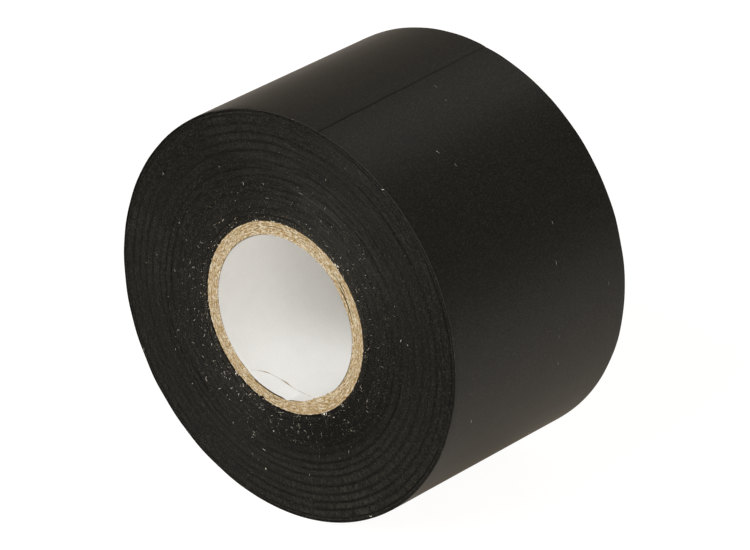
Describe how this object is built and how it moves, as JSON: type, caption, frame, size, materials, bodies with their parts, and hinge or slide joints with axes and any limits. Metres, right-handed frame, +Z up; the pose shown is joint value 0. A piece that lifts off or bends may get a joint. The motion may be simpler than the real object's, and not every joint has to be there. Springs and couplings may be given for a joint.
{
  "type": "electrical tape roll",
  "caption": "Roll of wide black insulation tape on a spiral-wound paper core, with a free end that lifts to start it.",
  "frame": {"origin": "centre of the core's bore, midway between its ends", "axes": "+Y along the roll's axis, away from the front face; +Z up, with the roll lying on its curved side; +X to the right as seen from the front"},
  "size_m": [0.0799, 0.05, 0.0799],
  "materials": {
    "pvc_film": "satin black soft PVC",
    "pvc_edges": "matt slit edges of soft PVC",
    "kraft_paper": "bare kraft board, cut fibres",
    "white_paper": "smooth uncoated white paper"
  },
  "bodies": {
    "roll": {"white_liner": "white_paper", "kraft_ply_1": "kraft_paper", "kraft_ply_2": "kraft_paper", "kraft_ply_3": "kraft_paper", "kraft_ply_4": "kraft_paper", "kraft_ply_5": "kraft_paper", "wound_tape": "pvc_edges", "outer_turn": "pvc_film"},
    "tail": {"tape_tail": "pvc_film"}
  },
  "joints": [
    {"name": "tail_peel", "type": "hinge", "parent": "roll", "child": "tail", "pos_m": [-0.01366, 0, 0.03759], "axis": [0, -1, 0], "range_deg": [0, 150]}
  ]
}
